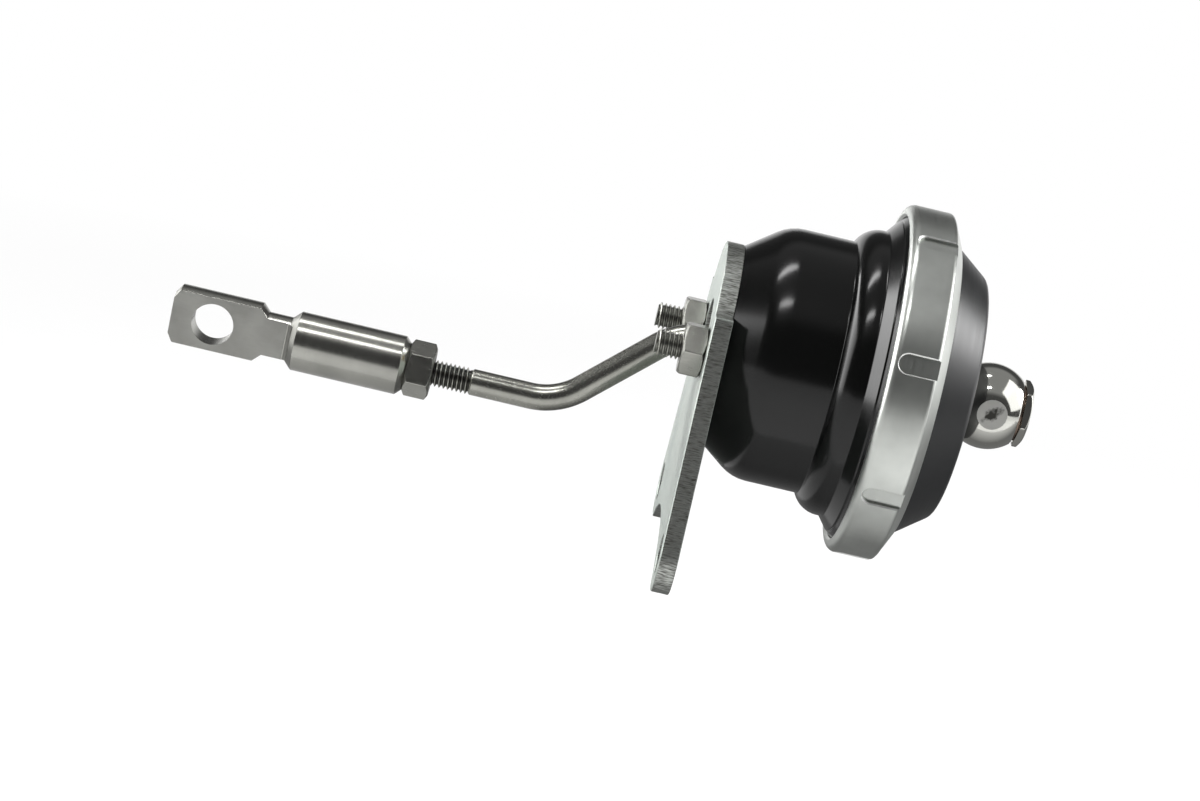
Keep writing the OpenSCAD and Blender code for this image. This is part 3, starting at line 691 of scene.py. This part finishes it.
def base_housing():
    """Turned base: spigot, tapered nose, barrel, rolled bead, flare and rim."""
    nose, barrel, bead_top, land, flange = 22.3, 29.0, 33.58, 34.38, 35.7
    bead, bend, fillet = 26.8, 6.0, 0.3
    spigot, rod_bore, seal_bore, hub, spring_bore = 9, 5.5, 7.5, 10.5, 25.4
    bush_end, floor, hub_end, step = 12, 13, 17, 29.5
    breather, breather_x = 1.25, 20.4
    reach = math.sqrt((bend + fillet) ** 2 - (barrel + fillet - bead) ** 2)
    foot = math.degrees(math.acos((barrel + fillet - bead) / (bend + fillet)))
    outline = [(BASE_START, rod_bore, 0.2), (BASE_START, spigot, 0.3), (PLATE_END, spigot, 0),
               (PLATE_END, nose, 0.3), (PLATE_END + 9.1, barrel, 10.0)]
    outline += arc(bead_top - reach, barrel + fillet, fillet, 180, 180 - foot, 6)
    outline += arc(bead_top, bead, bend, -foot, 0, 16)
    outline += [(land, bead + bend, 0.6), (FLANGE, flange, 0.35), (FLANGE + 0.4, flange, 0.1),
                (FLANGE + 0.4, RIM - 1, 0), (FLANGE + 1.4, RIM, 0.2), (JOINT, RIM, 0.1),
                (JOINT, WIDE_BORE + 1, 0), (JOINT - 1, WIDE_BORE, 0.3), (step, WIDE_BORE, 0),
                (step, spring_bore, 0.3), (floor, spring_bore, 1), (floor, hub, 0),
                (hub_end, hub, 0.3), (hub_end, seal_bore, 0), (bush_end, seal_bore, 0),
                (bush_end, rod_bore, 0)]
    shape = move(turned(outline), 0, 0, CANISTER_Z)
    hole = turn(peg(breather, 24, 32), 90, "Z")
    shape = carved(shape, move(hole, breather_x, 0, CANISTER_Z))
    piece("housing_shell", shape, "canister", [GLOSS_BLACK], ["base_housing"], 40)


def cap():
    """Cap: rim under the collar, cone, flat end and the seat of the hose fitting."""
    face = CAP_END - 0.3
    lip_end, inside, boss_end = CAP_START + 2.8, face - 4.5, face - 6.8
    cone_start, cone_end, inner_cone_end, seat = 33.6, 27.35, 24.1, 9
    outline = [(CAP_START, WIDE_BORE, 0), (CAP_START, RIM, 0.1), (lip_end, RIM, 0.1),
               (lip_end, cone_start, 0), (COLLAR_END, cone_start, 0.4), (face, cone_end, 2.5),
               (face, seat, 0.3), (CAP_END, seat, 0.2), (CAP_END, BOLT_HOLE, 0),
               (boss_end, BOLT_HOLE, 0), (boss_end, seat, 0.3), (inside, seat, 0),
               (inside, inner_cone_end, 0.5), (lip_end + 1, WIDE_BORE, 0)]
    shape = move(turned(outline), 0, 0, CANISTER_Z)
    piece("cap_shell", shape, "canister", [SATIN_BLACK], ["cap"])


def collar():
    """Screw collar with eight round-ended spanner notches."""
    low, high = span("collar", 1)
    radius = (high - low) / 2
    slope, ledge, thread_root = COLLAR_END - 2.6, COLLAR_END - 3.6, radius - 2.9
    outline = [(COLLAR_START, radius - 2.4, 0.1)]
    outline += arc(COLLAR_START + 2, radius - 2, 2, -90, 0, 10)
    outline += [(slope, radius, 1.0), (COLLAR_END, 34.6, 0.1), (COLLAR_END, 34.4, 0),
                (COLLAR_END - 0.4, 34, 0.1), (ledge, 34, 0), (ledge, thread_root, 0),
                (COLLAR_START + 0.5, thread_root, 0)]
    shape = turned(outline)
    count, first, half_width, length, depth, chamfer = 8, 18, 2.1, 11.0, 0.9, 0.35
    cutters = []
    for i in range(count):
        cutter = slot_cutter(COLLAR_END - length, half_width, radius - depth, radius, chamfer)
        cutters.append(turn(cutter, 90 - first + 360 / count * i, "X"))
    shape = carved(shape, joined(*cutters))
    shape.normal_update()
    # The upper chamfers of the notches take the near-white metal: a painted highlight
    for face in shape.faces:
        middle = face.calc_center_median() / MM
        out = Vector((0, middle.y, middle.z))
        leaning = abs(face.normal.dot(out)) < 0.85 * out.length
        upper = radius - chamfer - 0.02 < out.length < radius
        if leaning and upper and COLLAR_START + 1.3 < middle.x < slope:
            face.material_index = 1
    piece("screw_collar", move(shape, 0, 0, CANISTER_Z), "canister",
          [COLLAR_METAL, NOTCH_PAINTED_HIGHLIGHT], ["collar"])


def banjo_body():
    """Ball with two flats and a round spot face on its near side."""
    half = (BALL_END - BALL_START) / 2
    ball, bore, spot = 9.8, 4.06, 3.4
    flat = math.degrees(math.asin(half / ball))
    outline = [(-half, bore, 0.3)]
    outline += arc(0, 0, ball, -flat, flat, 40)
    outline += [(half, bore, 0.3)]
    shape = turned(outline)
    plane = math.sqrt(ball * ball - spot * spot)
    cutter = turn(peg(ball, -plane - 8, -plane), 90, "Z")
    shape = eased(carved(shape, cutter), 0.22, 14)
    for face in shape.faces:
        if face.normal.y < -0.999 and face.calc_center_median().y < -(plane - 0.1) * MM:
            face.material_index = 1
    piece("banjo_ball", move(shape, BALL_X, 0, CANISTER_Z), "banjo",
          [CHROME, SPOT_METAL], ["banjo_body"])


def banjo_washers():
    """Sealing washers on both sides of the ball."""
    shapes = []
    outer = 6.4
    for start, end in ((CAP_END, BALL_START), (BALL_END, WASHER_END)):
        ring = turned([(start, BOLT_HOLE, 0.1), (start, outer, 0.2), (end, outer, 0.2),
                       (end, BOLT_HOLE, 0.1)])
        shapes.append(move(ring, 0, 0, CANISTER_Z))
    piece("sealing_washers", joined(*shapes), "canister", [COPPER],
          ["banjo_washers"])


def banjo_bolt():
    """Hollow bolt with a low hexagon head."""
    start, end = span("banjo_bolt")
    across, radius, air, roll = 13.4, 4, 1.5, -16
    head = turn(eased(hexagon(across, end - WASHER_END, ("high",), 0), 0.15, 22), roll, "X")
    shank = turned([(start, air, 0.2), (start, radius, 0.5), (WASHER_END, radius, 0),
                    (WASHER_END, 0, 0), (BALL_X, 0, 0), (BALL_X, air, 0)], closed=False)
    shape = joined(move(head, WASHER_END), shank)
    piece("hollow_bolt", move(shape, 0, 0, CANISTER_Z), "canister", [CHROME],
          ["banjo_bolt"])


def hose_nipple():
    """Barbed tube that leaves the ball on its far side."""
    inner, tip = 5.8, span("hose_nipple", 1)[1]
    barbs, barb, tube, crest, air = 3, 2.6, 2.6, 3.2, 1.5
    outline = [(inner, air, 0), (inner, tube, 0)]
    for i in range(barbs, 0, -1):
        outline += [(tip - barb * i, tube, 0.1), (tip - barb * i, crest, 0.15)]
    outline += [(tip, tube - 0.4, 0.2), (tip, air, 0.2)]
    shape = turn(turned(outline, steps=96), 90, "Z")
    piece("hose_barb", move(shape, BALL_X, 0, CANISTER_Z), "banjo", [CHROME],
          ["hose_nipple"])


def rod():
    """Cranked rod: threaded outer end, two bends, and a stepped inner end."""
    crank, bend, radius, plain_start = math.radians(43), 16.0, 3.0, -48.9
    first_radius, lead, inner_radius = radius - 0.35, 0.4, 2.5
    drop = CANISTER_Z - ROD_Z
    trim = bend * math.tan(crank / 2)
    inner_corner = -5.2
    outer_corner = inner_corner - drop / math.tan(crank)
    shape = bmesh.new()
    bmesh.ops.create_circle(shape, cap_ends=True, radius=first_radius * MM, segments=64)
    turn(shape, 90, "Y")
    move(shape, plain_start, 0, ROD_Z)

    def grow(vec=None, scale=None, spin=None):
        nonlocal edges
        if spin:
            made = bmesh.ops.spin(shape, geom=edges, cent=spin[0], axis=(0, 1, 0), steps=56,
                                  dvec=(0, 0, 0), angle=spin[1], use_duplicate=False)
            edges = [e for e in made["geom_last"] if isinstance(e, bmesh.types.BMEdge)]
            return
        verts, edges = extruded(shape, edges)
        bmesh.ops.translate(shape, verts=verts, vec=Vector(vec) * MM)
        if scale:
            centre = sum((v.co for v in verts), Vector()) / len(verts)
            bmesh.ops.scale(shape, vec=(scale,) * 3, verts=verts,
                            space=Matrix.Translation(-centre))

    edges = shape.edges[:]
    grow((lead, 0, 0), radius / first_radius)
    grow((outer_corner - trim - plain_start - lead, 0, 0))
    start = Vector((outer_corner - trim, 0, ROD_Z))
    grow(spin=((start + UP * bend) * MM, -crank))
    slope = Vector((math.cos(crank), 0, math.sin(crank)))
    grow(slope * (drop / math.sin(crank) - 2 * trim))
    inner = Vector((inner_corner + trim, 0, CANISTER_Z))
    grow(spin=((inner - UP * bend) * MM, crank))
    shoulder = span("piston")[1] - 3
    grow((shoulder - inner.x, 0, 0))
    grow((0, 0, 0), inner_radius / radius)
    grow((span("rod")[1] - shoulder, 0, 0))
    bmesh.ops.contextual_create(shape, geom=edges)
    bmesh.ops.remove_doubles(shape, verts=shape.verts, dist=1e-7)
    bmesh.ops.recalc_face_normals(shape, faces=shape.faces)
    screw = thread(span("rod")[0], plain_start, radius, 1.0, low_chamfer=0.9, high_chamfer=0.5)
    for face in screw.faces:
        face.material_index = 1
    piece("cranked_rod", joined(shape, move(screw, 0, 0, ROD_Z)), "push_rod",
          [ROD_METAL, ROD_THREAD], ["rod"])


def jam_nut():
    """Hexagon nut that locks the rod end."""
    across, bore, roll = 11.3, 2.7, -11
    nut = eased(hexagon(across, JAM_END - JAM_START, ("low", "high"), bore), 0.14, 22)
    nut = move(turn(corners_in_painted_shade(nut), roll, "X"), JAM_START, 0, ROD_Z)
    piece("lock_hexagon", nut, "push_rod", [NUT_METAL, PAINTED_SHADE_STEEL], ["jam_nut"])


def rod_end():
    """Turned bar with two milled flats, an eye and a threaded socket."""
    bar, neck, flat, eye, socket, roll = 6.75, 5.0, 2.65, 4.75, 3.05, 5
    tip, mouth = ROD_END_TIP, ROD_END_MOUTH
    cut_end, cut_fillet, socket_end, outside = tip + 27.4, 1.5, mouth - 21, 12
    outline = [(tip, 0, 0), (tip, bar - 1.8, 0.15), (tip + 1.2, bar, 0.25),
               (tip + 19.65, bar, 0.3), (tip + 21.4, neck, 0.4), (tip + 26.8, neck, 0.4),
               (tip + 28.55, bar, 0.3), (mouth - 1.4, bar, 0.25), (mouth, bar - 1.4, 0.15),
               (mouth, 3.5, 0.1), (mouth - 0.5, socket, 0), (socket_end, socket, 0),
               (socket_end, 0, 0)]
    shape = turned(outline, closed=False, steps=128)
    cuts = []
    for side in (1, -1):
        near, far = sorted((side * flat, side * outside))
        cut = block((tip - 2, near, -outside), (cut_end, far, outside))
        corner = [e for e in cut.edges if all(abs(v.co.y) < (flat + 1) * MM and v.co.x > tip * MM
                                              for v in e.verts)]
        bmesh.ops.bevel(cut, geom=corner, offset=cut_fillet * MM, offset_type="OFFSET",
                        segments=12, profile=0.5, affect="EDGES", clamp_overlap=True,
                        material=-1)
        cuts.append(cut)
    hole = move(turn(peg(eye, -outside, outside, 96), 90, "Z"), tip + 9.5)
    shape = carved(shape, *cuts, hole)
    shape = eased(shape, 0.22, 32, lambda mid: mid.x < tip + 22.5)
    for face in shape.faces:
        along = face.calc_center_median().x / MM - tip
        if abs(face.normal.y) > 0.99 and along < 26:
            face.material_index = 1
        # Faces that look towards -X at the tip and at the shoulder take the steel of painted shade
        elif face.normal.x < -0.3 and (along < 1.4 or 25 < along < 28.6):
            face.material_index = 2
    piece("eyed_rod_end", move(turn(shape, roll, "X"), 0, 0, ROD_Z), "eye",
          [ROD_END_METAL, FLAT_METAL, PAINTED_SHADE_STEEL], ["rod_end"])


def coil_spring(name, node, wire, turns):
    """Spring with a flat turn at each end, on a mesh of its own."""
    low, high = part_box(node)
    length = high[0] - low[0]
    radius = (high[1] - low[1] - wire * MM) / 2
    flat = wire * 1.05 * MM
    shape = bmesh.new()
    place = Matrix.Translation((low[0] + wire / 2 * MM, radius, 0))
    bmesh.ops.create_circle(shape, segments=16, radius=wire / 2 * MM, matrix=place)
    wound = list(shape.verts) + list(shape.edges)
    for count, climb in ((1, flat), (turns - 2, length - wire * MM - 2 * flat), (1, flat)):
        steps = round(48 * count)
        wound = bmesh.ops.spin(shape, geom=wound, axis=(1, 0, 0), dvec=(climb / steps, 0, 0),
                               angle=math.tau * count, steps=steps)["geom_last"]
    close_rims(shape)
    bmesh.ops.recalc_face_normals(shape, faces=shape.faces)
    made = piece(name, move(shape, 0, 0, CANISTER_Z), "canister",
                 [SPRING_STEEL], [node])
    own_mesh(made)


def inner_pieces():
    """Gives the pieces inside the canister their finishes."""
    finishes = {"guide_bush": BRASS, "rod_seal": RUBBER, "seal_clip": SPRING_STEEL,
                "spring_seat": NUT_METAL, "diaphragm": RUBBER, "piston": INNER_ALUMINIUM,
                "diaphragm_retainer": INNER_ALUMINIUM, "lock_nut": NUT_METAL}
    for node, finish in finishes.items():
        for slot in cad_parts[node].material_slots:
            slot.material = finish


# Studio

CAMERA_TARGET = Vector((-19.4, 0, 23.1)) * MM
CAMERA_DISTANCE = 643.8 * MM
CAMERA_AZIMUTH, CAMERA_ELEVATION, CAMERA_ROLL = 1.53, 12.9, 13.6
FOCAL_LENGTH = 85.5
FLOOR_Z = -0.11


def camera():
    """Camera at the photograph's viewing angle."""
    azimuth, elevation = math.radians(CAMERA_AZIMUTH), math.radians(CAMERA_ELEVATION)
    back = Vector((-math.sin(azimuth) * math.cos(elevation),
                   -math.cos(azimuth) * math.cos(elevation), math.sin(elevation)))
    right = UP.cross(back).normalized()
    level = Matrix((right, back.cross(right), back)).transposed()
    lens = bpy.data.cameras.new("camera")
    lens.lens = FOCAL_LENGTH
    lens.sensor_width = 36
    lens.clip_end = 50
    view = bpy.data.objects.new("camera", lens)
    roll = Matrix.Rotation(math.radians(CAMERA_ROLL), 3, "Z")
    view.matrix_world = (Matrix.Translation(CAMERA_TARGET + back * CAMERA_DISTANCE)
                         @ (level @ roll).to_4x4())
    bpy.context.scene.collection.objects.link(view)
    bpy.context.scene.camera = view


def softbox(name, centre, towards, along, width, height, power):
    """Lamp round a point, turned towards a direction, with its width laid along another."""
    lamp = bpy.data.lights.new(name, "AREA")
    lamp.shape = "ELLIPSE" if width / height > 3 else "RECTANGLE"
    lamp.size = width
    lamp.size_y = height
    lamp.energy = power
    made = bpy.data.objects.new(name, lamp)
    back = -Vector(towards).normalized()
    rise = back.cross(Vector(along)).normalized()
    level = Matrix((rise.cross(back), rise, back)).transposed()
    made.matrix_world = Matrix.Translation(centre) @ level.to_4x4()
    bpy.context.scene.collection.objects.link(made)


def empty_material(name):
    """New material with nothing in its node tree."""
    material = bpy.data.materials.new(name)
    material.use_nodes = True
    material.node_tree.nodes.clear()
    return material, material.node_tree


def floor_material():
    """Pale floor that turns to plain white further out."""
    material, tree = empty_material("pale_floor")
    fade_start, fade_end = 0.3, 0.8
    far = vector_maths(tree, "LENGTH", object_axes(tree))
    fade = ranged(tree, far, 0, 1, fade_start, fade_end)
    near = add(tree, "ShaderNodeBsdfDiffuse", {"Color": (0.9, 0.9, 0.9, 1)}).outputs[0]
    white = add(tree, "ShaderNodeEmission", {"Strength": 1.0}).outputs[0]
    mixed = add(tree, "ShaderNodeMixShader", {0: fade, 1: near, 2: white}).outputs[0]
    add(tree, "ShaderNodeOutputMaterial", {"Surface": mixed})
    return material


def card_material(name, axis, start, end, first, last):
    """Card whose glow changes along one axis."""
    material, tree = empty_material(name)
    glow = ranged(tree, split(tree, object_axes(tree))[axis], first, last, start, end)
    lit = add(tree, "ShaderNodeEmission", {"Strength": glow}).outputs[0]
    add(tree, "ShaderNodeOutputMaterial", {"Surface": lit})
    return material


def stage_piece(name, shape, material, reflected_only=False):
    """Piece of the studio, which may be seen in reflections only."""
    mesh = bpy.data.meshes.new(name)
    shape.to_mesh(mesh)
    shape.free()
    mesh.materials.append(material)
    made = bpy.data.objects.new(name, mesh)
    bpy.context.scene.collection.objects.link(made)
    if reflected_only:
        made.visible_camera = False
        made.visible_diffuse = False
        made.visible_shadow = False


def sheet(centre, width, depth, facing="Z"):
    """Rectangular sheet round a point, which faces along an axis."""
    shape = bmesh.new()
    bmesh.ops.create_grid(shape, x_segments=1, y_segments=1, size=0.5)
    bmesh.ops.scale(shape, vec=(width, depth, 1), verts=shape.verts)
    if facing != "Z":
        turn(shape, 90, {"X": "Y", "Y": "X"}[facing])
    bmesh.ops.translate(shape, vec=centre, verts=shape.verts)
    return shape


def studio():
    """Pale floor, white surroundings, and dim walls that only reflections see."""
    stage_piece("floor", sheet((0, 0, FLOOR_Z), 16, 16), floor_material())
    wall, ceiling = 1.3, 1.75
    room = bmesh.new()
    bmesh.ops.create_cube(room, size=1)
    bmesh.ops.scale(room, vec=(2 * wall, 2 * wall, ceiling - FLOOR_Z), verts=room.verts)
    bmesh.ops.translate(room, vec=(0, 0, (ceiling + FLOOR_Z) / 2), verts=room.verts)
    below = [f for f in room.faces if f.calc_center_median().z < FLOOR_Z + 0.01]
    bmesh.ops.delete(room, geom=below, context="FACES")
    bmesh.ops.reverse_faces(room, faces=room.faces)
    dim = card_material("dim_walls", 2, 1.1, 1.6, 0.08, 0.32)
    stage_piece("dim_walls", room, dim, reflected_only=True)
    card_z = FLOOR_Z + 0.01
    cards = (
        ("shade_card", (0.29, 0.25, card_z), 0.62, 0.68, "Z", (1, -0.1, 0.03, 0.8, 0.2)),
        ("rod_shade_card", (-0.31, 0.25, card_z), 0.58, 0.68, "Z", (1, -0.09, 0.05, 0.8, 0.6)),
        ("left_card", (-0.9, 0.305, 0.2), 0.6, 1.29, "X", (1, -0.3, 0.15, 2.5, 8.2)),
        ("backdrop_card", (0.2, 1.25, 0.14), 2.1, 0.5, "Y", (2, 0.1, 0.4, 1.0, 0.5)),
        ("side_backdrop_card", (1.25, 0.65, 0.14), 0.5, 1.2, "X", (2, 0.1, 0.4, 1.9, 0.8)))
    for name, centre, width, depth, facing, glow in cards:
        card = card_material(name, *glow)
        stage_piece(name, sheet(centre, width, depth, facing), card, reflected_only=True)
    softbox("top_strip", (-0.455, 0.154, 1.07), (0, -0.14, -0.99), (1, 0, 0), 0.79, 0.14, 3.4)
    softbox("front_strip", (-0.4, -0.54, 1.0), (0, 0.5, -0.87), (1, 0, 0), 0.68, 0.12, 2.8)
    softbox("right_window", (0.9, -0.17, 0.65), (-0.8, 0.15, -0.55), (0, 1, 0), 1.1, 1.1, 6.0)
    softbox("right_softbox", (1.0, 0.22, 0.5), (-0.89, -0.2, -0.41), (0, 1, 0), 0.4, 0.36, 6.0)
    world = bpy.data.worlds.new("surroundings")
    bpy.context.scene.world = world
    world.use_nodes = True
    tree = world.node_tree
    tree.nodes.clear()
    path = add(tree, "ShaderNodeLightPath").outputs
    seen = maths(tree, "ADD", path["Is Camera Ray"], path["Is Glossy Ray"])
    seen = maths(tree, "ADD", seen, path["Is Transmission Ray"])
    soft = add(tree, "ShaderNodeBackground", {"Strength": 0.6}).outputs[0]
    white = add(tree, "ShaderNodeBackground", {"Strength": 1.0}).outputs[0]
    for background in (soft, white):
        background.node.inputs["Color"].default_value = (1, 1, 1, 1)
    mixed = add(tree, "ShaderNodeMixShader", {0: seen, 1: soft, 2: white}).outputs[0]
    add(tree, "ShaderNodeOutputWorld", {"Surface": mixed})
    bpy.context.scene.view_settings.view_transform = "Standard"


camera()
bracket_plate()
mount_studs()
stud_nuts()
base_housing()
cap()
collar()
banjo_body()
banjo_washers()
banjo_bolt()
hose_nipple()
rod()
jam_nut()
rod_end()
coil_spring("outer_coil", "outer_spring", 2.8, 4)
coil_spring("inner_coil", "inner_spring", 2.2, 4.5)
inner_pieces()
studio()
